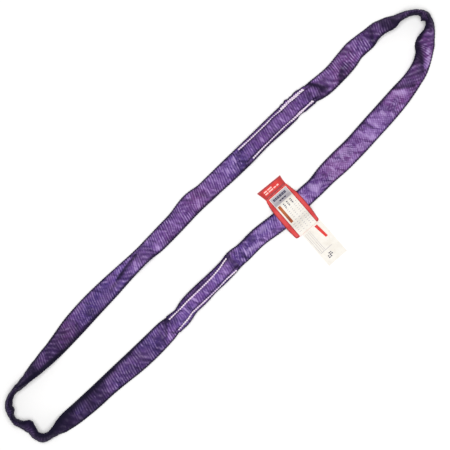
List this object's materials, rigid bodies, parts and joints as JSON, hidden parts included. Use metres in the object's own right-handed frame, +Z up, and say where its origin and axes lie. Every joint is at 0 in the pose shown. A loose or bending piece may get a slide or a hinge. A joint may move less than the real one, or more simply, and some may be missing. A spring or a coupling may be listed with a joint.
{
  "type": "endless round sling",
  "caption": "Endless round sling: a soft loop of yarn strands in a woven cover sewn at two laps, with a folded vinyl tag.",
  "frame": {"origin": "centre of the lying sling's box, tag included, on the surface that it lies on", "axes": "+X along the loop to the upper eye, +Y across to the run opposite the tag, +Z up"},
  "size_m": [0.9407, 0.2528, 0.036],
  "materials": {
    "cover": "woven, slightly sheeny",
    "sleeve": "plain woven",
    "yarn": "glossy filament yarn",
    "thread": "twisted sewing thread",
    "red_vinyl": "soft vinyl",
    "dark_red_vinyl": "welded vinyl",
    "white_vinyl": "satin vinyl",
    "pink_print": "printed",
    "grey_print": "printed",
    "dark_print": "printed",
    "orange_print": "printed"
  },
  "bodies": {
    "lower_half": {"cover_one_lower": "cover", "cover_two_lower": "cover", "sleeve_lower": "sleeve", "strand_1_lower": "yarn", "strand_2_lower": "yarn", "strand_3_lower": "yarn", "strand_4_lower": "yarn", "strand_5_lower": "yarn", "strand_6_lower": "yarn", "stitches_b_outer": "thread", "stitches_b_inner": "thread"},
    "upper_half": {"cover_one_upper": "cover", "cover_two_upper": "cover", "sleeve_upper": "sleeve", "strand_1_upper": "yarn", "strand_2_upper": "yarn", "strand_3_upper": "yarn", "strand_4_upper": "yarn", "strand_5_upper": "yarn", "strand_6_upper": "yarn", "stitches_a_outer": "thread", "stitches_a_inner": "thread", "tag_head": "red_vinyl", "tag_weld": "dark_red_vinyl", "tag_head_bars": "pink_print", "tag_back_leaf": "white_vinyl", "tag_tacks": "thread"},
    "front_leaf": {"tag_leaf": "red_vinyl", "tag_edge_left": "red_vinyl", "tag_edge_right": "red_vinyl", "tag_label": "white_vinyl", "tag_header": "grey_print", "tag_stripe": "orange_print", "tag_print": "grey_print", "tag_header_bar": "dark_print"},
    "free_tail": {"tag_tail": "white_vinyl", "tag_tail_strip": "red_vinyl", "tag_tail_lines": "grey_print", "tag_tail_marks": "dark_print"}
  },
  "joints": [
    {"name": "bend_at_middle", "type": "hinge", "parent": "lower_half", "child": "upper_half", "pos_m": [0.024, 0.04, 0.011], "axis": [0, -1, 0], "range_deg": [0, 110]},
    {"name": "leaf_lift", "type": "hinge", "parent": "upper_half", "child": "front_leaf", "pos_m": [0.096, 0.0198, 0.002], "axis": [-1, 0, 0], "range_deg": [0, 135]},
    {"name": "tail_lift", "type": "hinge", "parent": "upper_half", "child": "free_tail", "pos_m": [0.101, -0.062, 0.0008], "axis": [-1, 0, 0], "range_deg": [0, 135]}
  ]
}
